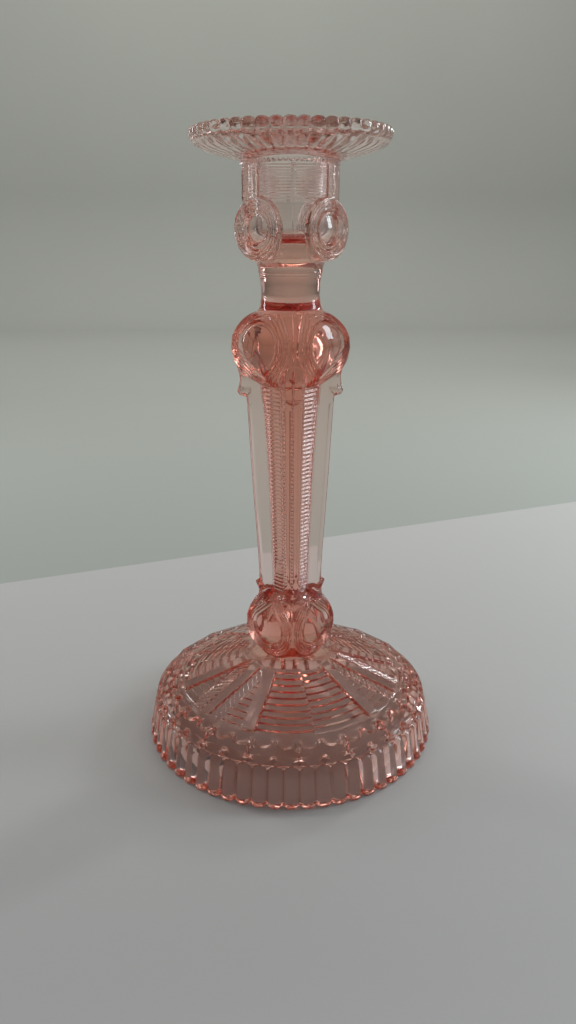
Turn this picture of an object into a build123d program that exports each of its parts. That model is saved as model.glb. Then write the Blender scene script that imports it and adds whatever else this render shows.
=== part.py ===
from build123d import *
import os
from math import cos, pi, radians, sin

os.makedirs("parts", exist_ok=True)

# A pressed glass candlestick, in millimetres, with +Z up.  The origin is the centre of the
# ring that it stands on.  The glass is pressed in sections that are joined hot, face to face,
# at level planes.  The shaft is a cross in section with its arms along the X and Y axes, so the
# round bosses on the faces of the three knops point at 45 degrees between the arms.

# Levels of the hot joints and of the top.
FOOT_JOINT = 34.0
COLUMN_JOINT = 57.5
SHOULDER_JOINT = 134.0
NECK_JOINT = 169.5
SOCKET_JOINT = 180.0
PAN_JOINT = 215.3
TOP = 224.5

# Candle well.
WELL_RADIUS = 11.25
WELL_FLOOR = 189.5

# Foot.
FOOT_RADIUS = 58.2
SKIRT_TOP_RADIUS = 55.0
SKIRT_TOP = 15.6
SKIRT_FLUTES = 60
SKIRT_FLUTE_DEPTH = 1.0
SKIRT_WALL = 5.0
DOME_EDGE_RADIUS = 52.7
DOME_EDGE = 18.3
DOME_MIDDLE_RADIUS = 31.0
DOME_MIDDLE = 25.4
FOOT_NECK_RADIUS = 11.8
HOLLOW_TOP = 26.0
HOLLOW_TOP_RADIUS = 9.0
HOLLOW_SHOULDER_RADIUS = 48.5
HOLLOW_SHOULDER = 12.8

# Drip pan.
PAN_RADIUS = 33.6
PAN_BEADS = 48
PAN_BEAD_DEPTH = 0.9
PAN_RIM_BOTTOM = 220.7
PAN_RIM_WIDTH = 3.0
PAN_ROOT_RADIUS = 17.6
PAN_FLOOR = 219.4
WELL_MOUTH_CHAMFER = 0.8

# Candle socket and its bosses.
SOCKET_RADIUS = 16.0
SOCKET_SHOULDER = 190.0
SOCKET_BOWL_RADIUS = 14.7
SOCKET_BOWL = 186.0
SOCKET_STUB_RADIUS = 11.3
BOSS_LEVEL = 193.4
BOSS_RADIUS = 10.4
BOSS_FACE = 16.6
BOSS_RING_RADII = (9.4, 7.6)
BOSS_EYE_RADIUS = 5.2
RING_HEIGHT = 0.7
RING_WIDTH = 1.0

# Neck.
NECK_TOP_RADIUS = 11.1
NECK_WAIST_RADIUS = 10.2
NECK_WAIST = 173.5
NECK_FOOT_RADIUS = 10.4

# Shoulder knop.
SHOULDER_RADIUS = 20.0
SHOULDER_LEVEL = 155.4
SHOULDER_TOP_SLOPE = (1, -0.4)
SHOULDER_FOOT_SLOPE = (-0.6, -1)
SHOULDER_FACE = 15.6
SHOULDER_LENS_RADIUS = 8.0
SHOULDER_LENS_RISE = 1.6
SHOULDER_RING_RADII = (9.4, 11.2)
PENDANT_LEVEL = 138.6
PENDANT_RADIUS = 19.0
PENDANT_THICKNESS = 3.2

# Shaft: the reach and half width of an arm of the cross, and the distance along the arm to
# where the slanting ribbed face between two arms starts, at the top and at the foot.
SHAFT_TOP_RADIUS = 15.7
SHAFT_TOP_ARM = 3.7
SHAFT_TOP_ROOT = 10.1
SHAFT_FOOT_RADIUS = 12.0
SHAFT_FOOT_ARM = 2.8
SHAFT_FOOT_ROOT = 6.9
ARM_RIDGE = 0.8
COLLAR_RADIUS = 13.7
COLLAR_LEVEL = 61.8
COLLAR_FOOT_RADIUS = 12.6
COLLAR_TOP = 65.5
COLLAR_TOP_RADIUS = 11.0

# Lower knop.
LOWER_RADIUS = 16.4
LOWER_LEVEL = 46.4
LOWER_FACE = 12.0
LOWER_LENS_RADIUS = 7.0
LOWER_LENS_RISE = 1.6
LOWER_RING_RADII = (8.2, 9.8)

FACE_TURNS = (45, 135, 225, 315)
CORNER_TURNS = (0, 90, 180, 270)


def turned(*outline):
    """A solid turned about Z from the lines of a closed outline in radius and height."""
    edges = [edge for line in outline for edge in (Plane.XZ * line).edges()]
    return revolve(make_face(edges), Axis.Z)


def lobed_disc(radius, lobes, depth):
    """A disc whose edge is a ring of equal convex lobes of the given depth."""
    half_pitch = pi * radius / lobes
    lobe_radius = (half_pitch**2 + depth**2) / (2 * depth)
    ring = PolarLocations(radius - lobe_radius, lobes)
    return Circle(radius - depth) + ring * Circle(lobe_radius)


def outward(turn, level, reach):
    """A plane at the given distance from the axis, facing out in the direction of turn."""
    direction = Vector(cos(radians(turn)), sin(radians(turn)), 0)
    return Plane(origin=direction * reach + Vector(0, 0, level), z_dir=direction)


def lens(turn, level, face, radius, rise):
    """A domed glass lens on a face of a knop."""
    ball_radius = (radius**2 + rise**2) / (2 * rise)
    cap = Pos(0, 0, rise - ball_radius) * Sphere(ball_radius)
    keep = Cylinder(radius, 2 * rise, align=(Align.CENTER, Align.CENTER, Align.CENTER))
    return outward(turn, level, face) * (cap & keep)


def raised_ring(turn, level, face, radius):
    """A raised ring on a face, standing out by RING_HEIGHT."""
    band = Circle(radius) - Circle(radius - RING_WIDTH)
    return outward(turn, level, face) * extrude(band, RING_HEIGHT, both=True)


def square_prism(face, low, high):
    """A prism whose four faces point at 45 degrees, at the given distance from the axis."""
    outline = Rot(0, 0, 45) * Rectangle(2 * face, 2 * face)
    return Pos(0, 0, low) * extrude(outline, high - low)


def drip_pan():
    dish = turned(
        Polyline(
            (WELL_RADIUS, PAN_JOINT),
            (PAN_ROOT_RADIUS, PAN_JOINT),
            (PAN_RADIUS - PAN_BEAD_DEPTH, PAN_RIM_BOTTOM),
            (PAN_RADIUS - PAN_BEAD_DEPTH, TOP),
            (PAN_RADIUS - PAN_RIM_WIDTH, TOP),
            (PAN_ROOT_RADIUS, PAN_FLOOR),
            (WELL_RADIUS + WELL_MOUTH_CHAMFER, PAN_FLOOR),
            (WELL_RADIUS, PAN_FLOOR - WELL_MOUTH_CHAMFER),
            close=True,
        )
    )
    edge = lobed_disc(PAN_RADIUS, PAN_BEADS, PAN_BEAD_DEPTH) - Circle(PAN_RADIUS - PAN_RIM_WIDTH)
    return dish + Pos(0, 0, PAN_RIM_BOTTOM) * extrude(edge, TOP - PAN_RIM_BOTTOM)


def candle_socket():
    body = turned(
        Polyline((0, SOCKET_SHOULDER), (0, SOCKET_JOINT), (SOCKET_STUB_RADIUS, SOCKET_JOINT)),
        ThreePointArc(
            (SOCKET_STUB_RADIUS, SOCKET_JOINT),
            (SOCKET_BOWL_RADIUS, SOCKET_BOWL),
            (SOCKET_RADIUS, SOCKET_SHOULDER),
        ),
        Line((SOCKET_RADIUS, SOCKET_SHOULDER), (0, SOCKET_SHOULDER)),
    )
    body += Pos(0, 0, SOCKET_SHOULDER) * extrude(Circle(SOCKET_RADIUS), PAN_JOINT - SOCKET_SHOULDER)
    for turn in FACE_TURNS:
        body += outward(turn, BOSS_LEVEL, 0) * extrude(Circle(BOSS_RADIUS), BOSS_FACE)
        for radius in BOSS_RING_RADII:
            body += raised_ring(turn, BOSS_LEVEL, BOSS_FACE, radius)
        body += lens(turn, BOSS_LEVEL, BOSS_FACE, BOSS_EYE_RADIUS, RING_HEIGHT)
    well = Pos(0, 0, WELL_FLOOR) * extrude(Circle(WELL_RADIUS), PAN_JOINT - WELL_FLOOR)
    return body - well


def neck():
    return turned(
        Polyline(
            (NECK_TOP_RADIUS, SOCKET_JOINT),
            (0, SOCKET_JOINT),
            (0, NECK_JOINT),
            (NECK_FOOT_RADIUS, NECK_JOINT),
        ),
        ThreePointArc(
            (NECK_FOOT_RADIUS, NECK_JOINT),
            (NECK_WAIST_RADIUS, NECK_WAIST),
            (NECK_TOP_RADIUS, SOCKET_JOINT),
        ),
    )


def shoulder_knop():
    body = turned(
        Polyline(
            (SHAFT_TOP_RADIUS, SHOULDER_JOINT),
            (0, SHOULDER_JOINT),
            (0, NECK_JOINT),
            (NECK_FOOT_RADIUS, NECK_JOINT),
        ),
        Spline(
            (NECK_FOOT_RADIUS, NECK_JOINT),
            (SHOULDER_RADIUS, SHOULDER_LEVEL),
            (SHAFT_TOP_RADIUS, SHOULDER_JOINT),
            tangents=[SHOULDER_TOP_SLOPE, SHOULDER_FOOT_SLOPE],
        ),
    )
    body &= square_prism(SHOULDER_FACE, SHOULDER_JOINT, NECK_JOINT)
    for turn in FACE_TURNS:
        body += lens(turn, SHOULDER_LEVEL, SHOULDER_FACE, SHOULDER_LENS_RADIUS, SHOULDER_LENS_RISE)
        for radius in SHOULDER_RING_RADII:
            body += raised_ring(turn, SHOULDER_LEVEL, SHOULDER_FACE, radius)
    for turn in CORNER_TURNS:
        middle = outward(turn, PENDANT_LEVEL, PENDANT_RADIUS - PENDANT_THICKNESS)
        body += middle * Sphere(PENDANT_THICKNESS)
    return body


def cross(reach, arm, root):
    """A cross whose inner corners are cut across, with a slight ridge down the end of each arm."""
    points = []
    for turn in CORNER_TURNS:
        for along, aside in [
            (root, -arm),
            (reach - ARM_RIDGE, -arm),
            (reach, 0),
            (reach - ARM_RIDGE, arm),
            (root, arm),
        ]:
            points.append(Vector(along, aside).rotate(Axis.Z, turn))
    return make_face(Polyline(*points, close=True))


def column():
    foot = Pos(0, 0, COLLAR_LEVEL) * cross(SHAFT_FOOT_RADIUS, SHAFT_FOOT_ARM, SHAFT_FOOT_ROOT)
    top = Pos(0, 0, SHOULDER_JOINT) * cross(SHAFT_TOP_RADIUS, SHAFT_TOP_ARM, SHAFT_TOP_ROOT)
    collar = turned(
        Polyline(
            (COLLAR_FOOT_RADIUS, COLUMN_JOINT),
            (COLLAR_RADIUS, COLLAR_LEVEL),
            (COLLAR_TOP_RADIUS, COLLAR_TOP),
            (0, COLLAR_TOP),
            (0, COLUMN_JOINT),
            close=True,
        )
    )
    return loft([foot, top], ruled=True) + collar


def lower_knop():
    body = turned(
        Polyline(
            (COLLAR_FOOT_RADIUS, COLUMN_JOINT),
            (0, COLUMN_JOINT),
            (0, FOOT_JOINT),
            (FOOT_NECK_RADIUS, FOOT_JOINT),
        ),
        ThreePointArc(
            (FOOT_NECK_RADIUS, FOOT_JOINT),
            (LOWER_RADIUS, LOWER_LEVEL),
            (COLLAR_FOOT_RADIUS, COLUMN_JOINT),
        ),
    )
    body &= square_prism(LOWER_FACE, FOOT_JOINT, COLUMN_JOINT)
    for turn in FACE_TURNS:
        body += lens(turn, LOWER_LEVEL, LOWER_FACE, LOWER_LENS_RADIUS, LOWER_LENS_RISE)
        for radius in LOWER_RING_RADII:
            body += raised_ring(turn, LOWER_LEVEL, LOWER_FACE, radius)
    return body


def foot():
    base = lobed_disc(FOOT_RADIUS, SKIRT_FLUTES, SKIRT_FLUTE_DEPTH)
    brim = Pos(0, 0, SKIRT_TOP) * scale(base, SKIRT_TOP_RADIUS / FOOT_RADIUS)
    skirt = loft([base.face(), brim.face()], ruled=True)
    dome_foot = SKIRT_TOP_RADIUS - SKIRT_FLUTE_DEPTH
    dome = turned(
        Polyline(
            (dome_foot, SKIRT_TOP),
            (0, SKIRT_TOP),
            (0, FOOT_JOINT),
            (FOOT_NECK_RADIUS, FOOT_JOINT),
        ),
        ThreePointArc(
            (FOOT_NECK_RADIUS, FOOT_JOINT),
            (DOME_MIDDLE_RADIUS, DOME_MIDDLE),
            (DOME_EDGE_RADIUS, DOME_EDGE),
        ),
        Line((DOME_EDGE_RADIUS, DOME_EDGE), (dome_foot, SKIRT_TOP)),
    )
    hollow = turned(
        Polyline(
            (0, 0),
            (FOOT_RADIUS - SKIRT_WALL, 0),
            (HOLLOW_SHOULDER_RADIUS, HOLLOW_SHOULDER),
            (DOME_MIDDLE_RADIUS, DOME_MIDDLE - SKIRT_WALL),
            (HOLLOW_TOP_RADIUS, HOLLOW_TOP),
            (0, HOLLOW_TOP),
            close=True,
        )
    )
    return skirt + dome - hollow


SECTIONS = {
    "drip_pan": drip_pan,
    "candle_socket": candle_socket,
    "neck": neck,
    "shoulder_knop": shoulder_knop,
    "column": column,
    "lower_knop": lower_knop,
    "foot": foot,
}

for name, make in SECTIONS.items():
    export_step(make(), f"parts/{name}.step")
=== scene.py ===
from math import cos, pi, radians, sin, sqrt

import bpy
import numpy as np
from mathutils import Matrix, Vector


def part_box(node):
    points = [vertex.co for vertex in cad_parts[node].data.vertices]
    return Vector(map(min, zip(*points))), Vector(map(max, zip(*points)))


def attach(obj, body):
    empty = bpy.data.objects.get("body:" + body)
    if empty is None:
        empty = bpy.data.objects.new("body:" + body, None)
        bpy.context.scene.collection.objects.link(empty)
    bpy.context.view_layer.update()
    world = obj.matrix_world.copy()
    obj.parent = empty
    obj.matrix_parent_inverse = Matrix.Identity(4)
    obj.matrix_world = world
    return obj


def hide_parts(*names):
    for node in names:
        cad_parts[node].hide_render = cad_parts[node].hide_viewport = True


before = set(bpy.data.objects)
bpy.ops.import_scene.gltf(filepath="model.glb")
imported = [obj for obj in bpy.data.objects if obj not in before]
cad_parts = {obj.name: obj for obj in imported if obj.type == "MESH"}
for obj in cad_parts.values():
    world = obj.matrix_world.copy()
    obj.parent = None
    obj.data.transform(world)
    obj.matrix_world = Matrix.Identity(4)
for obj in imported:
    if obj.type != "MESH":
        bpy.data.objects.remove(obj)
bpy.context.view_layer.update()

# Lengths are in millimetres until a mesh or a light is placed, and MM turns them into metres.
MM = 0.001


def level(node, end):
    """The lowest (end 0) or highest (end 1) level of a section, in millimetres."""
    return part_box(node)[end].z / MM


def reach(node):
    """How far a section stands out from the axis along X, in millimetres."""
    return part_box(node)[1].x / MM


FOOT_TOP = level("foot", 1)
KNOP_TOP = level("lower_knop", 1)
COLUMN_TOP = level("column", 1)
SHOULDER_TOP = level("shoulder_knop", 1)
NECK_TOP = level("neck", 1)
SOCKET_TOP = level("candle_socket", 1)
PAN_TOP = level("drip_pan", 1)
FOOT_RADIUS = reach("foot")
PAN_RADIUS = reach("drip_pan")

WELL_RADIUS = 11.25
WELL_FLOOR = 189.5
QUARTER = pi / 2
# The hot joints between sections are drawn this far apart, so that no two faces coincide.
JOINT_GAP = 0.02
# How many points go round a knop or the socket, and round the plainer neck.
KNOP_POINTS = 480
NECK_POINTS = 240


# ---------------------------------------------------------------- curves and blends

def flow(*points):
    """A smooth curve through (level, radius) points, as a function of the level."""
    at, to = (np.array(column, float) for column in zip(*points))
    slopes = np.gradient(to, at)

    def curve(level_wanted):
        x = np.clip(level_wanted, at[0], at[-1])
        i = np.clip(np.searchsorted(at, x) - 1, 0, len(at) - 2)
        span = at[i + 1] - at[i]
        t = (x - at[i]) / span
        rise = to[i] * (1 + 2 * t) * (1 - t) ** 2 + to[i + 1] * t**2 * (3 - 2 * t)
        return rise + span * (slopes[i] * t * (1 - t) ** 2 - slopes[i + 1] * t**2 * (1 - t))

    return curve


def softer_max(a, b, blend):
    """The larger of two surfaces, with a fillet where they meet."""
    h = np.clip(0.5 + 0.5 * (a - b) / blend, 0, 1)
    return b + (a - b) * h + blend * h * (1 - h)


def softer_min(a, b, blend):
    """The smaller of two surfaces, with a rounded edge where they meet."""
    return -softer_max(-np.asarray(a), -np.asarray(b), blend)


def step(low, high, x):
    """0 below low and 1 above high, easing between them."""
    t = np.clip((x - low) / (high - low), 0, 1)
    return t * t * (3 - 2 * t)


def bead(x, middle, half_width):
    """A raised round line: 1 at its middle and 0 outside its half width."""
    t = np.clip(np.abs(x - middle) / half_width, 0, 1)
    return (1 - t * t) ** 2


def within(angle, pitch, start=0.0):
    """The place in a repeat, from -1 to 1, where start is the middle of a repeat."""
    return 2 * ((angle - start) / pitch - np.round((angle - start) / pitch))


def from_face(angle):
    """The angle from the middle of the nearest knop face."""
    return np.mod(angle, QUARTER) - QUARTER / 2


def from_arm(angle):
    """The angle from the nearest arm of the shaft."""
    return np.mod(angle + QUARTER / 2, QUARTER) - QUARTER / 2


# ---------------------------------------------------------------- meshes

def levels(*stretches):
    """Levels from end to end of each stretch (low, high, spacing), without repeats."""
    rows = []
    for low, high, spacing in stretches:
        count = max(1, round(abs(high - low) / spacing))
        rows.extend(np.linspace(low, high, count, endpoint=False))
    rows.append(stretches[-1][1])
    return np.array(rows)


def polar_rings(angles, rows, radius_at):
    """Rings of points, one for each level in rows, at the radius that radius_at gives."""
    turn, height = np.meshgrid(angles, rows)
    r = radius_at(turn, height)
    return np.stack([r * np.cos(turn), r * np.sin(turn), height], axis=-1)


def full_turn(count):
    """Angles spaced evenly once round the axis."""
    return np.linspace(0, 2 * pi, count, endpoint=False)


def ring_at(angles, r, z):
    """One ring of points, where the radius and the level may each change round the ring."""
    return np.stack([r * np.cos(angles), r * np.sin(angles), z + 0 * angles], -1)


def profile_rings(angles, profile):
    """Plain round rings at each (radius, level) of a profile."""
    return np.array([ring_at(angles, r, z) for r, z in profile])


# The shade of a hollow starts at the first depth below the glass round it, and is full at the second.
FAINT_HOLLOW = 0.06
FULL_HOLLOW = 0.28


def hollows(rings, neighbours=2):
    """How deep each point lies in the pressed pattern, from 0 to 1, which sets its painted shade: its
    distance below the mean of the neighbouring points, along the outward direction."""
    along = np.gradient(rings, axis=0)
    across = (np.roll(rings, -1, axis=1) - np.roll(rings, 1, axis=1)) / 2
    outward = np.cross(across, along)
    outward /= np.maximum(np.linalg.norm(outward, axis=-1, keepdims=True), 1e-9)
    padded = np.pad(rings, ((neighbours, neighbours), (0, 0), (0, 0)), mode="reflect", reflect_type="odd")
    count = len(rings)
    sideways = sum(np.roll(rings, shift, axis=1) for shift in range(-neighbours, neighbours + 1))
    lengthways = sum(padded[shift:shift + count] for shift in range(2 * neighbours + 1))
    mean = (sideways + lengthways) / (4 * neighbours + 2)
    depth = np.sum((mean - rings) * outward, axis=-1)
    return np.clip((depth - FAINT_HOLLOW) / (FULL_HOLLOW - FAINT_HOLLOW), 0, 1)


def skin(name, rings, joints=(), start="open", end="open", around=False, neighbours=2):
    """A glass section skinned over rings of points in millimetres, from the inside of the
    start cap to the end cap.  joints holds the spans between rings that are hot joints, and
    a cap is "glass", "joint" or "open".  around joins the last ring to the first, and neighbours
    is how many points each way the shade of the pattern's hollows is judged over."""
    # painted shade: each point's share of the darker surface colour laid in the pattern's hollows
    shade = hollows(rings, neighbours).ravel().tolist()
    count, around_count = rings.shape[:2]
    points = rings.reshape(-1, 3)
    index = np.arange(count * around_count).reshape(count, around_count)
    ahead = np.roll(index, -1, axis=1)
    above, above_ahead = np.roll(index, -1, axis=0), np.roll(ahead, -1, axis=0)
    spans = count if around else count - 1
    quads = np.stack([index, ahead, above_ahead, above], axis=-1)[:spans]
    faces = quads.reshape(-1, 4).tolist()
    fused = np.repeat([1.0 if span in joints else 0.0 for span in range(spans)], around_count).tolist()
    for cap, ring, turned_over in ((start, 0, True), (end, count - 1, False)):
        if cap != "open":
            centre = np.full(around_count, len(points))
            points = np.vstack([points, [[0, 0, rings[ring, :, 2].mean()]]])
            shade.append(0.0)
            edge = (ahead[ring], index[ring]) if turned_over else (index[ring], ahead[ring])
            faces.extend(np.stack([centre, *edge], axis=-1).tolist())
            fused.extend([1.0 if cap == "joint" else 0.0] * around_count)
    mesh = bpy.data.meshes.new(name)
    mesh.from_pydata((points * MM).tolist(), [], faces)
    mesh.attributes.new("fused", "FLOAT", "FACE").data.foreach_set("value", fused)
    # the "groove" attribute carries that painted shade to the glass finish
    mesh.attributes.new("groove", "FLOAT", "POINT").data.foreach_set("value", shade)
    mesh.polygons.foreach_set("use_smooth", [True] * len(faces))
    mesh.set_sharp_from_angle(angle=radians(50))
    mesh.update()
    piece = bpy.data.objects.new(name, mesh)
    bpy.context.scene.collection.objects.link(piece)
    return piece


# ---------------------------------------------------------------- the shaft's section

# The cross at a level: how far an arm reaches, its half width, and the distance from the axis
# of the slanting ribbed face between two arms.
arm_reach = flow((57.5, 12.3), (66.0, 12.0), (71, 12.2), (100, 13.9), (134, 15.7), (150, 16.6))
arm_half_width = flow((57.5, 2.6), (66, 2.8), (134, 3.7), (150, 4.1))
strip_distance = flow((57.5, 6.6), (66, 6.9), (134, 9.76), (140, 10.2), (150, 11.0))
RIB_PITCH = 1.53
RIB_DEPTH = 0.45
ARM_RIDGE = 0.6
ARM_BEVEL = 0.9


def strip_relief(across, height, half_width):
    """Horizontal ribs on the slanting face, inside a fine raised line down each side.
    across runs from -1 to 1 over the face."""
    wave = 0.5 + 0.5 * np.cos(2 * pi * height / RIB_PITCH)
    inside = 1 - step(0.76, 0.86, np.abs(across))
    line = 0.3 * bead(np.abs(across), 0.93, 0.07)
    return RIB_DEPTH * (wave - 0.6) * inside + line


def arm_end(out, sideways, half):
    """How far the ridged, bevelled end of an arm stands out, sideways from its middle."""
    away = np.abs(sideways)
    ridge = out - ARM_RIDGE * away / half + 0.22 * bead(sideways, 0, 0.35)
    return ridge - np.clip(away - (half - ARM_BEVEL), 0, None)


def cross_radius(turn, height, out):
    """The radius of the cross at an angle, with its arms reaching as far as out."""
    beta = from_arm(turn)
    half = arm_half_width(height)
    sideways = np.clip(out * np.tan(beta), -half, half)
    end = arm_end(out, sideways, half) / np.cos(beta)
    side = half / np.maximum(np.sin(np.abs(beta)), 1e-4)
    away = strip_distance(height)
    slant = QUARTER / 2 - np.abs(beta)
    strip_half = away - half * sqrt(2)
    across = away * np.tan(slant) / strip_half
    strip = away + strip_relief(across, height, strip_half) * (np.abs(across) < 1)
    return np.maximum(np.minimum(end, side), strip / np.cos(slant))


# ---------------------------------------------------------------- knops

def drop(across, up, point):
    """The size of the teardrop outline through a spot: round, and drawn out to a point
    downwards (point -1) or upwards (point 1)."""
    circle = np.hypot(across, up)
    sloping = (np.abs(across) + point * up) / sqrt(2)
    return np.where(point * up > np.abs(across), sloping, circle)


def lens_relief(size, lens, rise, lines, line_height, line_width):
    """A domed lens with raised teardrop lines nested round it."""
    dome = rise * np.clip(1 - (size / lens) ** 2, 0, 1)
    moat = -0.9 * bead(size, lens + 0.15, 0.55)
    rings = sum(bead(size, line, line_width) for line in lines)
    return dome + moat + line_height * rings


shoulder_corner = flow((134, 17.2), (136.3, 17.8), (138.4, 19.0), (140.6, 18.4), (143.4, 18.1),
                       (147, 18.9), (151, 19.6), (155.3, 20.0), (158.8, 19.3), (161.6, 17.7),
                       (163.9, 15.7), (165.6, 13.4), (166.6, 11.9), (167.5, 11.1), (168.5, 10.7),
                       (169.5, 10.5))
shoulder_face = flow((134, 7.0), (139, 8.2), (142, 11.0), (145, 14.2), (148, 15.4), (169.5, 15.6))
SHOULDER_LEVEL = 155.8
SHOULDER_LENS = 7.9
SHOULDER_LINES = (8.95, 10.35, 11.75, 13.1)
TONGUE_END = 136.3
# The fine mould seam down each corner: fainter on the shoulder knop than below and above it.
SEAM_RISE = 0.1
SHOULDER_SEAM_RISE = 0.06


def shoulder_radius(turn, height):
    delta = from_face(turn)
    across = 16.0 * np.tan(delta)
    up = height - SHOULDER_LEVEL
    corner = shoulder_corner(height)
    body = softer_min(corner, shoulder_face(height) / np.cos(delta), 1.6)
    size = drop(across, up, -1)
    relief = lens_relief(size, SHOULDER_LENS, 1.4, SHOULDER_LINES, 1.0, 0.6)
    fade = step(SHOULDER_TOP - 2.6, SHOULDER_TOP - 4.6, height) * step(139, 142, height)
    knop = body + relief * fade / np.cos(delta)
    aside = from_arm(turn) * 18
    tongue = step(-0.3, 0.6, height - TONGUE_END - 2.2 * (aside / 3.7) ** 2)
    shaft = arm_reach(height)
    arm = cross_radius(turn, height, shaft + (corner - shaft) * tongue)
    seam = SHOULDER_SEAM_RISE * bead(aside, 0, 0.35) * step(SHOULDER_TOP, SHOULDER_TOP - 2, height)
    return np.where(height < 148, softer_max(knop, arm, 0.4), knop) + seam


lower_corner = flow((34, 12.0), (36, 14.0), (39.6, 15.5), (43.3, 16.25), (46.9, 16.4), (50.4, 15.6),
                    (52.2, 14.8), (54, 13.9), (55.8, 13.0), (57.5, 12.6))
lower_face = flow((34, 12.0), (52, 12.0), (54.5, 11.2), (57.5, 10.2))
LOWER_LEVEL = 46.4
LOWER_LENS = 6.7
LOWER_LINES = (7.7, 8.9, 10.1, 11.3)


def lower_radius(turn, height):
    delta = from_face(turn)
    across = 12.4 * np.tan(delta)
    up = height - LOWER_LEVEL
    body = softer_min(lower_corner(height), lower_face(height) / np.cos(delta), 1.4)
    size = drop(across, up, 1)
    relief = lens_relief(size, LOWER_LENS, 1.2, LOWER_LINES, 0.9, 0.52)
    fade = step(FOOT_TOP, FOOT_TOP + 1.5, height) * step(KNOP_TOP, KNOP_TOP - 2, height)
    seam = SEAM_RISE * bead(from_arm(turn) * 15, 0, 0.35) * fade
    return body + relief * fade / np.cos(delta) + seam


collar_corner = flow((57.5, 12.6), (59.0, 12.5), (60.5, 12.8), (61.8, 13.4), (62.8, 13.8), (63.6, 13.7),
                     (64.6, 12.9))
COLLAR_FACE = 10.2
COLLAR_TOP = 65.2
COLLAR_END = 65.5


def collar_radius(turn, height):
    """The collar that the shaft stands in: its edge dips to the foot of each ribbed face, and
    curls out in a tip at the end of each arm."""
    dip = np.abs(from_face(turn)) / (QUARTER / 2)
    edge = 59.6 + 5.0 * dip**2.5
    body = softer_min(collar_corner(height), COLLAR_FACE / np.cos(from_face(turn)), 1.4)
    return body - 1.9 * step(edge - 1.8, edge, height) - 8 * step(edge - 0.1, edge + 0.5, height)


# ---------------------------------------------------------------- sections

def make_column():
    """The tapering cross, its points set out along the outline so that every edge is crisp."""
    rows = levels((KNOP_TOP, COLLAR_TOP, 0.2), (COLLAR_TOP, COLUMN_TOP, RIB_PITCH / 8))
    strip_part = np.concatenate([np.linspace(0.98, 0.76, 6), np.linspace(0.76, 0, 6)[1:]])
    rings = []
    for z in rows:
        out, half, away = arm_reach(z), arm_half_width(z), strip_distance(z)
        strip_half = away - half * sqrt(2)
        root = half + strip_half * sqrt(2)
        level_part = half - ARM_BEVEL
        sideways = np.array([0, 0.15, 0.35, level_part - 0.15, level_part, half - 0.1, half])
        spots = [(arm_end(out, y, half), y) for y in sideways]
        corner = spots[-1][0]
        spots += [(corner + (root - corner) * t, half) for t in (0.05, 0.3, 0.6, 0.95, 1)]
        for t in strip_part:
            stands = away + float(strip_relief(t, z, strip_half))
            spots.append(((stands + strip_half * t) / sqrt(2), (stands - strip_half * t) / sqrt(2)))
        quarter = np.array(spots + [(y, x) for x, y in spots[-2:0:-1]])
        outline = np.vstack([quarter @ np.array([[cos(q), sin(q)], [-sin(q), cos(q)]])
                             for q in (0, QUARTER, 2 * QUARTER, 3 * QUARTER)])
        if z < COLLAR_END:
            turn = np.arctan2(outline[:, 1], outline[:, 0])
            here = np.hypot(outline[:, 0], outline[:, 1])
            outline *= (softer_max(here, collar_radius(turn, z), 0.3) / here)[:, None]
        rings.append(np.column_stack([outline, np.full(len(outline), z)]))
    return skin("column_glass", np.array(rings), start="joint", end="joint")


def make_shoulder_knop():
    angles = full_turn(KNOP_POINTS)
    rows = levels((COLUMN_TOP + JOINT_GAP, 146, 0.19), (146, SHOULDER_TOP, 0.22))
    rings = polar_rings(angles, rows, shoulder_radius)
    return skin("shoulder_knop_glass", rings, start="joint", end="joint", neighbours=5)


def make_lower_knop():
    angles = full_turn(KNOP_POINTS)
    rows = levels((FOOT_TOP + JOINT_GAP, KNOP_TOP - JOINT_GAP, 0.19))
    rings = polar_rings(angles, rows, lower_radius)
    return skin("lower_knop_glass", rings, start="joint", end="joint", neighbours=5)


neck_side = flow((169.5, 10.5), (170.6, 10.3), (173.2, 10.2), (176.6, 10.4), (179.2, 10.9), (180, 11.05))


def make_neck():
    angles = full_turn(NECK_POINTS)
    rows = levels((SHOULDER_TOP + JOINT_GAP, NECK_TOP, 0.25))

    def side(turn, height):
        seam = SEAM_RISE * bead(from_arm(turn) * 10, 0, 0.3)
        ring = 0.16 * bead(height, NECK_TOP - 0.5, 0.5)
        return neck_side(height) + seam + ring

    return skin("neck_glass", polar_rings(angles, rows, side), start="joint", end="joint")


socket_side = flow((180, 11.05), (181.5, 11.3), (183.2, 12.0), (185.2, 13.6), (187.4, 15.0), (190, 15.8),
                   (193, 16.0), (196, 16.0), (210, 16.0), (213.4, 16.05), (214.6, 16.6), (215.3, 18.3))
BOSS_LEVEL = 193.4
BOSS_RADIUS = 10.4
BOSS_FACE = 16.3
# The raised rings of a boss, from the outside in: how far each stands out, its radius and its
# half width.
BOSS_RINGS = ((1.1, 9.35, 1.1), (0.7, 7.9, 0.6), (0.7, 6.75, 0.6), (1.2, 5.3, 0.85))
BOSS_EYE = 4.3
SOCKET_RIB_PITCH = 0.92
RIBS_FROM = 204.5
DASHES = 60
WELL_ROUNDING = 4.0


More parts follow.
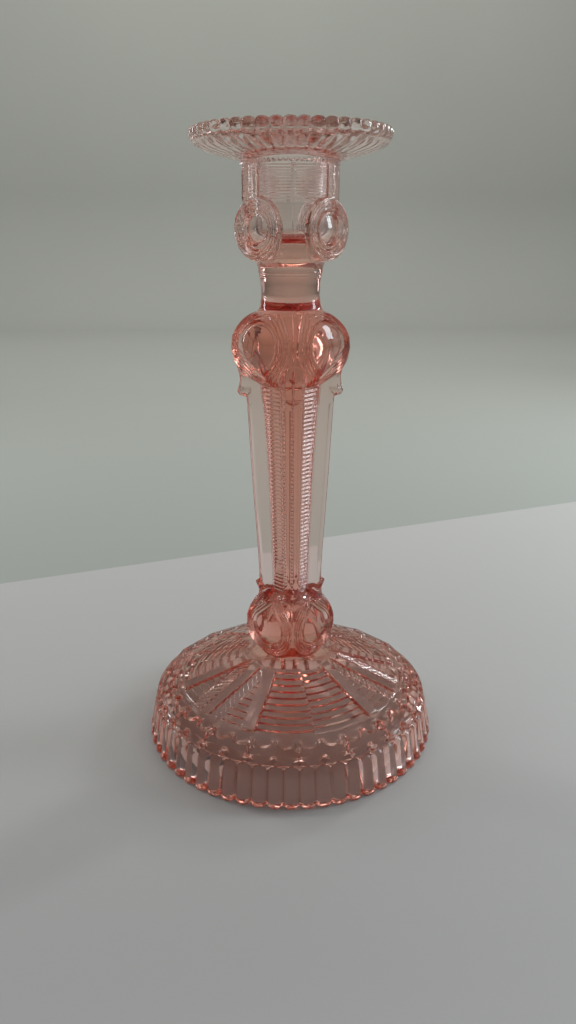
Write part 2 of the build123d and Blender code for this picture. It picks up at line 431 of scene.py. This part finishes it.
def socket_radius(turn, height):
    delta = from_face(turn)
    body = socket_side(height)
    upright = np.minimum(np.abs(from_face(turn)), np.abs(from_arm(turn))) * body
    plain = 1 - step(0.5, 0.8, upright)
    ribbed = step(202, 203.2, height) * step(213.4, 212.6, height)
    ribs = 0.13 * np.cos(2 * pi * height / SOCKET_RIB_PITCH) * (1 - plain)
    bar = 0.5 * bead(upright, 0, 0.75)
    dashes = 0.9 * bead(height, SOCKET_TOP - 1.3, 0.8) * bead(within(turn, 2 * pi / DASHES), 0, 0.8)
    body = body + ribbed * (ribs + bar) + dashes + 0.12 * bead(upright, 0, 0.5) * (1 - ribbed)
    across = 16.8 * np.tan(delta)
    size = np.hypot(across, height - BOSS_LEVEL)
    face = BOSS_FACE
    for rise, radius, half_width in BOSS_RINGS:
        face = face + rise * bead(size, radius, half_width)
    face = face + 0.6 * np.clip(1 - (size / BOSS_EYE) ** 2, 0, 1)
    face = face - 9 * step(BOSS_RADIUS - 0.7, BOSS_RADIUS + 1.0, size)
    return softer_max(body, face / np.cos(delta), 0.7)


def make_candle_socket():
    angles = full_turn(KNOP_POINTS)
    rows = levels((NECK_TOP + JOINT_GAP, RIBS_FROM, 0.26),
                  (RIBS_FROM, SOCKET_TOP - JOINT_GAP, SOCKET_RIB_PITCH / 8))
    outside = polar_rings(angles, rows, socket_radius)
    bend = [(WELL_RADIUS - WELL_ROUNDING * (1 - cos(t)), WELL_FLOOR + WELL_ROUNDING * (1 - sin(t)))
            for t in np.linspace(0, QUARTER, 9)]
    well = [(WELL_RADIUS, SOCKET_TOP - JOINT_GAP), (WELL_RADIUS, 205.0)] + bend + [(4.0, WELL_FLOOR)]
    inside = profile_rings(angles, well)
    rings = np.concatenate([outside, inside])
    return skin("candle_socket_glass", rings, joints={len(rows) - 1}, start="joint", end="glass")


PAN_BEADS = 48
POINTS_PER_BEAD = 12
pan_under = flow((215.3, 18.3), (216.4, 22.6), (217.6, 27.0), (218.9, 30.2), (220.0, 32.0), (220.7, 32.4))
RIM_BOTTOM = 220.9
RIM_WIDTH = 2.0
# The dish, as (radius, level) from inside the rim down to the well's mouth and its chamfer.
PAN_DISH = ((30.9, 223.7), (30.2, 223.0), (27.6, 222.0), (24.0, 220.9), (20.0, 219.9), (16.0, 219.4),
            (12.6, 219.35), (11.9, 219.2), (11.45, 218.9), (WELL_RADIUS, 218.5), (WELL_RADIUS, 217.0),
            (WELL_RADIUS, SOCKET_TOP))


def make_drip_pan():
    """The pan as one closed skin: underside, beaded rim, dished top and the well's mouth."""
    angles = full_turn(PAN_BEADS * POINTS_PER_BEAD)
    place = within(angles, 2 * pi / PAN_BEADS, pi / PAN_BEADS)
    crown = 1 - np.abs(place) ** 2.6
    rings = []
    underside = levels((SOCKET_TOP, 220.6, 0.3))
    for z in underside:
        grown = step(SOCKET_TOP, 219, z)
        drop_by = (0.16 + 0.34 * grown) * (crown - 0.5)
        rings.append(ring_at(angles, pan_under(z), z - drop_by))
    rings[0][:, 2] = SOCKET_TOP
    for t in np.linspace(-QUARTER, QUARTER, 17):
        bulge = 1.1 * np.sign(cos(t)) * abs(cos(t)) ** 0.6
        between_ends = abs(t) < QUARTER - 1e-6
        swell = bulge + 0.9 * cos(t) ** 0.5 * crown if between_ends else 0.3 * crown
        half = (PAN_TOP - RIM_BOTTOM) / 2 - 0.75 * (1 - crown)
        z = (PAN_TOP + RIM_BOTTOM) / 2 + half * np.sign(t) * abs(sin(t)) ** 0.8
        rings.append(ring_at(angles, PAN_RADIUS - RIM_WIDTH + swell, z))
    rings.extend(profile_rings(angles, PAN_DISH))
    return skin("drip_pan_glass", np.array(rings), joints={len(rings) - 1}, around=True)


# ---------------------------------------------------------------- foot

SKIRT_FLUTES = 60
POINTS_PER_FLUTE = 11
EDGE_SIDES = 18
DOME_EDGE = 18.3
DOME_EDGE_RADIUS = 52.7
SHOULDER_EDGE = 16.1
SHOULDER_EDGE_RADIUS = 54.9
# The pressed pattern on top repeats three times, and each repeat is the same on both sides of its
# middle: a fan of steps, a plain band, a fainter fan and half a feathered leaf, out to the next.
REPEAT = radians(120)
REPEAT_MIDDLE = radians(9)
FAN = radians(30)
STEP_PITCH = 2.75
STEP_HEIGHT = 0.62
# The share of a step's pitch that its steep outer side takes.
RISER = 0.07
STEPS_FROM = 18.0
STEPS_TO = 44.0
BAND = 5.0
HALF_BAND = 2.3
LEAF_EDGE = 7.5
RIB_RISE = 0.35
BAND_RISE = 0.75
CRESCENT_PITCH = radians(10)
CRESCENT_MIDDLE = 46.2
CRESCENT_SIZE = 3.3
CRESCENT_RISE = 0.5
CRESCENT_DEPTH = 1.4
NICKS_FROM = 51.9
NICK_DEPTH = 1.5
NOTCH_DEPTH = 1.6
INNER_EDGE = 51.8


def polygon_radius(azimuth, sides, radius):
    """A regular polygon with a corner at azimuth 0."""
    half = pi / sides
    return radius * cos(half) / np.cos(within(azimuth, 2 * half, half) * half)


def dome_relief(azimuth, r):
    """The pressed pattern on top of the foot, as a height to add."""
    signed = within(azimuth, REPEAT, REPEAT_MIDDLE) * REPEAT / 2
    aside = np.abs(signed)
    first = aside * r
    second = (aside - FAN) * r
    place = np.mod((r - STEPS_FROM) / STEP_PITCH + 0.5 * (signed > 0), 1)
    tread = np.where(place < RISER, 1 - place / RISER, (place - RISER) / (1 - RISER))
    fan = STEP_HEIGHT * (tread - 0.5)
    steps = step(STEPS_FROM - 1, STEPS_FROM + 1, r) * step(STEPS_TO + 0.3, STEPS_TO - 0.3, r)
    rib = bead(first, 0, 0.7)
    in_band = step(-0.2, 0.2, second) * step(BAND + 0.2, BAND - 0.2, second)
    from_leaf = (REPEAT / 2 - aside) * r
    in_first = step(0.2, -0.2, second)
    in_second = 1 - in_band - in_first
    return (steps * in_first * fan + RIB_RISE * rib * steps + in_band * steps * BAND_RISE
            - 0.5 * bead(second, -0.2, 0.45) * steps
            + in_second * steps * leaf_or_fan(from_leaf, r, fan)
            - 0.3 * bead(r, STEPS_TO + 0.5, 0.5) + crescents(azimuth, r) + edge_marks(azimuth, r))


def leaf_or_fan(aside, r, fan):
    """A leaf with a plain band down its middle and slanting strokes beside it, which give way to
    the fainter fan at the leaf's edge."""
    band = step(HALF_BAND + 0.2, HALF_BAND - 0.2, aside)
    leaf = step(LEAF_EDGE + 0.4, LEAF_EDGE - 0.4, aside)
    strokes = 0.5 * (0.5 - np.abs(within(r - 0.9 * aside, 2.2)))
    beside = strokes * leaf + 0.6 * fan * (1 - leaf)
    groove = bead(aside, HALF_BAND + 0.3, 0.45) + bead(aside, LEAF_EDGE, 0.5)
    return beside * (1 - band) + 0.4 * band - 0.3 * groove


def crescents(azimuth, r):
    """Round dabs near the edge, each swelling outwards to a crescent cut round its outer side."""
    along = within(azimuth, CRESCENT_PITCH, CRESCENT_PITCH / 2) * CRESCENT_PITCH / 2 * CRESCENT_MIDDLE
    out = r - CRESCENT_MIDDLE
    away = np.hypot(along, out)
    dab = step(CRESCENT_SIZE + 0.3, CRESCENT_SIZE - 0.3, away)
    mound = CRESCENT_RISE * np.clip(out / CRESCENT_SIZE, 0, 1) * dab
    return mound - CRESCENT_DEPTH * step(-0.5, 0.5, out) * bead(away, CRESCENT_SIZE, 0.8)


def edge_marks(azimuth, r):
    """Three short nicks that spread inwards from each corner of the edge."""
    pitch = 2 * pi / EDGE_SIDES
    along = within(azimuth, pitch) * pitch / 2 * r
    inwards = NICKS_FROM - r
    marks = sum(bead(along, lean * inwards, 0.5) for lean in (-0.5, 0, 0.5))
    return -NICK_DEPTH * marks * step(-0.2, 0.3, inwards) * step(3.8, 2.2, inwards)


FOOT_TOP_RADIUS = 12.0
# The hollow underneath, as (radius, level) from the middle of its roof to the standing ring.
FOOT_HOLLOW = ((2.5, 27.6), (8.0, 26.4), (14.0, 24.8), (22.0, 22.6), (31.0, 20.0), (40.0, 17.0),
               (45.0, 15.0), (48.0, 13.2), (49.8, 11.2), (50.9, 8.0), (52.8, 1.0), (53.7, 0.0))
dome_height = flow((FOOT_TOP_RADIUS, FOOT_TOP), (20, 30.5), (34, 25.0), (48, 20.0), (56, 17.1))


def make_foot():
    """The foot as one closed skin, from the hollow underneath, out under the standing ring, up
    the fluted skirt and over the dome."""
    angles = full_turn(SKIRT_FLUTES * POINTS_PER_FLUTE)
    azimuth = np.mod(angles + QUARTER, 2 * pi)
    rings = []
    rings.extend(profile_rings(angles, FOOT_HOLLOW))
    flute = within(azimuth, 2 * pi / SKIRT_FLUTES, pi / SKIRT_FLUTES)

    def skirt_ring(z, inset):
        side = FOOT_RADIUS - (FOOT_RADIUS - SHOULDER_EDGE_RADIUS) * z / SHOULDER_EDGE
        over = np.clip((z - 12.6) / 2.3, 0, None)
        size = np.sqrt(flute**2 + over**2)
        lobe = -1.6 * np.clip(size, 0, 1) ** 2.4 - 0.6 * bead(np.abs(flute), 1, 0.3) * (over < 0.5)
        spandrel = step(1.0, 1.3, size) * 0.9
        return ring_at(angles, side - inset + lobe + spandrel, z)

    for z, inset in ((0.0, 0.9), (0.12, 0.45), (0.4, 0.12), (0.9, 0.0)):
        rings.append(skirt_ring(z, inset))
    for z in levels((1.6, 12.0, 1.5), (12.0, SHOULDER_EDGE - 0.5, 0.3)):
        rings.append(skirt_ring(z, 0.0))
    edge_side = polygon_radius(azimuth, EDGE_SIDES, DOME_EDGE_RADIUS + 0.3)
    brow = SHOULDER_EDGE_RADIUS - 0.25
    aside = np.abs(within(azimuth, radians(10)))
    for t in (0.0, 0.1, 0.25, 0.4, 0.5, 0.6, 0.75, 0.9, 1.0):
        half = 0.06 + 0.6 * (1 - abs(2 * t - 1))
        notch = NOTCH_DEPTH * np.clip(1 - aside / half, 0, 1) * (1 - abs(2 * t - 1)) ** 0.3
        up = t * 0.55 + 0.45 * float(step(0.85, 1.0, t))
        r = brow + (edge_side - brow) * t - notch
        z = SHOULDER_EDGE + (DOME_EDGE + 0.1 - SHOULDER_EDGE) * up - 0.6 * notch
        rings.append(ring_at(angles, r, z))
    for t in (0.15, 0.5, 1.0):
        r = edge_side + (INNER_EDGE - edge_side) * t
        z = dome_height(r) + dome_relief(azimuth, r) * t
        rings.append(ring_at(angles, r, z))
    half_pitch = STEP_PITCH / 2
    risers = np.arange(STEPS_FROM, STEPS_TO + half_pitch, half_pitch)
    radii = np.concatenate([risers + share * half_pitch for share in (0, 2 * RISER, 0.55)]
                           + [np.arange(risers[-1] + half_pitch, INNER_EDGE - 0.1, 0.24)])
    inner = levels((FOOT_TOP_RADIUS + 0.4, STEPS_FROM - 0.4, 0.6))
    for radius in np.sort(np.concatenate([radii, inner]))[::-1]:
        r = np.full(len(angles), radius)
        z = dome_height(r) + dome_relief(azimuth, r)
        rings.append(ring_at(angles, r, z))
    rings.extend(profile_rings(angles, [(FOOT_TOP_RADIUS, FOOT_TOP)]))
    return skin("foot_glass", np.array(rings), start="glass", end="joint")


# ---------------------------------------------------------------- finishes

class Wire:
    """An output socket in a finish, with arithmetic that adds Math nodes."""

    def __init__(self, finish, socket):
        self.finish = finish
        self.socket = socket

    def math(self, operation, other, swapped=False):
        pair = (other, self) if swapped else (self, other)
        return self.finish.node("ShaderNodeMath", {"operation": operation}, dict(enumerate(pair)))

    def __add__(self, other):
        return self.math("ADD", other)

    def __radd__(self, other):
        return self.math("ADD", other, swapped=True)

    def __sub__(self, other):
        return self.math("SUBTRACT", other)

    def __rsub__(self, other):
        return self.math("SUBTRACT", other, swapped=True)

    def __mul__(self, other):
        return self.math("MULTIPLY", other)

    def __rmul__(self, other):
        return self.math("MULTIPLY", other, swapped=True)


class Finish:
    """The nodes of a material, or of the light in the room."""

    def __init__(self, block, output="ShaderNodeOutputMaterial"):
        self.block = block
        self.block.use_nodes = True
        self.tree = self.block.node_tree
        self.tree.nodes.clear()
        self.output = self.tree.nodes.new(output)

    def node(self, kind, settings=None, sockets=None, output=0):
        """Adds a node: first its settings, then the value or the wire of each socket."""
        made = self.tree.nodes.new(kind)
        for name, value in (settings or {}).items():
            setattr(made, name, value)
        for name, value in (sockets or {}).items():
            if isinstance(value, Wire):
                self.tree.links.new(value.socket, made.inputs[name])
            else:
                made.inputs[name].default_value = value
        return Wire(self, made.outputs[output])

    def show(self, surface, volume=None):
        self.tree.links.new(surface.socket, self.output.inputs["Surface"])
        if volume is not None:
            self.tree.links.new(volume.socket, self.output.inputs["Volume"])
        return self.block

    def places(self):
        return self.node("ShaderNodeTexCoord", output="Object")

    def noise(self, scale, detail=2.0, roughness=0.5):
        return self.node("ShaderNodeTexNoise", {}, {
            "Vector": self.places(), "Scale": scale, "Detail": detail, "Roughness": roughness}, "Fac")

    def mix(self, share, first, second):
        return self.node("ShaderNodeMix", {"data_type": "RGBA"}, {0: share, 6: first, 7: second}, 2)


# The colour that a hollow of the pressed pattern is shaded with, the colour that gathers at the
# well's floor and how far up it fades, and the colour of the glass itself.
PAINTED_GROOVE_SHADE = (0.6, 0.42, 0.35, 1)
BLUSH = (0.97, 0.84, 0.78, 1)
BLUSH_FADE = 4.0
GLASS_TINT = (0.96, 0.52, 0.38, 1)
# How strongly each glass absorbs, per metre, from the pan down to the foot.
FAINT_GLASS = 24.0
PALE_GLASS = 34.0
ROSE_GLASS = 58.0
DEEP_GLASS = 64.0


def rose_glass(name, density, blush_below=0.0):
    """Fire-polished pressed glass: a faint wave, fine mould texture and a rose body colour, with
    a blush on the surface below a level where the glass gathered.  The pattern's hollows are
    shaded by a darker surface colour.  The faces of the hot joints between sections are clear, so
    that light passes straight on."""
    finish = Finish(bpy.data.materials.new(name))
    fused = finish.node("ShaderNodeAttribute", {"attribute_name": "fused"}, output="Fac")
    wave = finish.noise(95.0, 2.0)
    grain = finish.noise(900.0, 3.0, 0.6)
    tint = finish.mix(wave, (1.0, 0.965, 0.955, 1), (1.0, 0.985, 0.98, 1))
    # painted shade: the surface colour is darkened in the pattern's hollows, whatever the light
    groove = finish.node("ShaderNodeAttribute", {"attribute_name": "groove"}, output="Fac")
    tint = finish.mix(groove, tint, PAINTED_GROOVE_SHADE)
    if blush_below:
        height = finish.node("ShaderNodeSeparateXYZ", {}, {"Vector": finish.places()}, "Z")
        clear = finish.node("ShaderNodeMapRange", {"interpolation_type": "SMOOTHSTEP"}, {
            "Value": height, "From Min": (blush_below - BLUSH_FADE) * MM, "From Max": blush_below * MM})
        tint = finish.mix(clear, BLUSH, tint)
    polish = 0.015 + grain * 0.03
    relief = wave * 0.75 + grain * 0.1
    bump = finish.node("ShaderNodeBump", {}, {"Strength": 0.12, "Distance": 0.0006, "Height": relief})
    surface = finish.node("ShaderNodeBsdfPrincipled", {}, {
        "Base Color": tint, "Roughness": polish, "Normal": bump, "Alpha": 1 - fused,
        "IOR": 1.51, "Transmission Weight": 1.0})
    body = finish.node("ShaderNodeVolumeAbsorption", {}, {"Color": GLASS_TINT, "Density": density})
    return finish.show(surface, body)


TABLE_EDGE = 186.0
TABLE_EDGE_ANGLE = radians(17.9)


def table_and_wall():
    """A pale satin table, and grey-green wall paint from its far edge, which runs at a slant."""
    finish = Finish(bpy.data.materials.new("table_and_wall"))
    place = finish.node("ShaderNodeSeparateXYZ", {}, {"Vector": finish.places()}, "Y")
    across = finish.node("ShaderNodeSeparateXYZ", {}, {"Vector": finish.places()}, "X")
    beyond = place * cos(TABLE_EDGE_ANGLE) - across * sin(TABLE_EDGE_ANGLE)
    past_edge = finish.node("ShaderNodeMath", {"operation": "GREATER_THAN"}, {0: beyond, 1: TABLE_EDGE * MM})
    cloud = finish.noise(3.0, 3.0)
    table = finish.mix(cloud, (0.50, 0.485, 0.46, 1), (0.53, 0.515, 0.49, 1))
    wall = finish.mix(cloud, (0.375, 0.385, 0.35, 1), (0.405, 0.415, 0.375, 1))
    colour = finish.mix(past_edge, table, wall)
    surface = finish.node("ShaderNodeBsdfPrincipled", {}, {"Base Color": colour, "Roughness": 0.6})
    return finish.show(surface)


# ---------------------------------------------------------------- assembly

def assemble():
    faint = rose_glass("rose_glass_faint", FAINT_GLASS)
    pale = rose_glass("rose_glass_pale", PALE_GLASS, blush_below=WELL_FLOOR + 2.5)
    rose = rose_glass("rose_glass", ROSE_GLASS)
    deep = rose_glass("rose_glass_deep", DEEP_GLASS)
    sections = {
        "foot": (make_foot, deep),
        "lower_knop": (make_lower_knop, rose),
        "column": (make_column, rose),
        "shoulder_knop": (make_shoulder_knop, rose),
        "neck": (make_neck, rose),
        "candle_socket": (make_candle_socket, pale),
        "drip_pan": (make_drip_pan, faint),
    }
    for node, (make, glass) in sections.items():
        piece = make()
        piece.data.materials.append(glass)
        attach(piece, "root")
        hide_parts(node)


# ---------------------------------------------------------------- table, wall, light, camera

# The camera stands this far from the axis and this high over the table, in millimetres, turned
# a little from the arm of the shaft that faces it.
CAMERA_DISTANCE = 281.6
CAMERA_HEIGHT = 190.0
CAMERA_TURN = radians(3.5)
CAMERA_TILT = radians(19.3)
CAMERA_AIM = radians(0.185)
FOCAL_LENGTH = 27.25


def make_stage():
    """A pale table that runs up into a wall, far enough behind to walk round the candlestick."""
    half, back, bend = 2500.0, 1800.0, 300.0
    profile = [(-half, 0.0), (back - bend, 0.0)]
    profile += [(back - bend + bend * sin(t), bend * (1 - cos(t))) for t in np.linspace(0.1, QUARTER, 14)]
    profile += [(back, 2500.0)]
    points = [(x * MM, y * MM, z * MM - 0.0001) for y, z in profile for x in (-half, half)]
    faces = [(2 * i, 2 * i + 1, 2 * i + 3, 2 * i + 2) for i in range(len(profile) - 1)]
    mesh = bpy.data.meshes.new("table_and_wall")
    mesh.from_pydata(points, [], faces)
    mesh.materials.append(table_and_wall())
    mesh.polygons.foreach_set("use_smooth", [True] * len(faces))
    sweep = bpy.data.objects.new("table_and_wall", mesh)
    bpy.context.scene.collection.objects.link(sweep)


def make_light(name, place, aim, size, watts, colour):
    lamp = bpy.data.lights.new(name, "AREA")
    lamp.shape = "RECTANGLE"
    lamp.size, lamp.size_y = (side * MM for side in size)
    lamp.energy = watts
    lamp.color = colour
    stand = bpy.data.objects.new(name, lamp)
    stand.location = Vector(place) * MM
    stand.rotation_euler = (Vector(aim) - Vector(place)).to_track_quat("-Z", "Y").to_euler()
    bpy.context.scene.collection.objects.link(stand)
    return stand


def make_lights():
    """A soft room, brighter on the side of its windows and towards the wall, and its lamps.  The
    lamp over the wall doesn't show as a reflection in the glass."""
    room = Finish(bpy.data.worlds.new("room"), "ShaderNodeOutputWorld")
    toward = room.node("ShaderNodeTexCoord", output="Generated")
    right = room.node("ShaderNodeSeparateXYZ", {}, {"Vector": toward}, "X")
    up = room.node("ShaderNodeSeparateXYZ", {}, {"Vector": toward}, "Z")
    back = room.node("ShaderNodeSeparateXYZ", {}, {"Vector": toward}, "Y")
    brightness = right * 0.2 + back * 0.14 + up * 0.08 + 0.27
    light = room.node("ShaderNodeBackground", {}, {"Color": (0.9, 0.95, 1.0, 1), "Strength": brightness})
    bpy.context.scene.world = room.show(light)
    make_light("window", (780, 110, 430), (0, 0, 110), (200, 420), 2.2, (0.82, 0.92, 1.0))
    make_light("far_window", (600, 500, 420), (0, 0, 60), (80, 150), 1.1, (0.88, 0.95, 1.0))
    make_light("side_light", (-560, 360, 330), (0, 0, 120), (60, 400), 0.8, (0.88, 0.94, 1.0))
    wall_light = make_light("wall_light", (0, 600, 1500), (0, 1700, 500), (2000, 500), 22.0,
                            (1.0, 0.99, 0.97))
    wall_light.visible_glossy = False


def make_camera():
    camera = bpy.data.objects.new("camera", bpy.data.cameras.new("camera"))
    camera.data.lens = FOCAL_LENGTH
    camera.location = Vector((-CAMERA_DISTANCE * sin(CAMERA_TURN), -CAMERA_DISTANCE * cos(CAMERA_TURN),
                              CAMERA_HEIGHT)) * MM
    camera.rotation_euler = (QUARTER - CAMERA_TILT, 0, CAMERA_AIM - CAMERA_TURN)
    bpy.context.scene.collection.objects.link(camera)
    bpy.context.scene.camera = camera


def set_rendering():
    """Enough bounces to see through the whole candlestick, and plain colours."""
    scene = bpy.context.scene
    scene.view_settings.view_transform = "Standard"
    scene.cycles.max_bounces = 32
    scene.cycles.transmission_bounces = 32
    scene.cycles.transparent_max_bounces = 48
    scene.cycles.glossy_bounces = 8
    scene.cycles.sample_clamp_indirect = 2.0
    scene.cycles.use_denoising = True


assemble()
make_stage()
make_lights()
make_camera()
set_rendering()
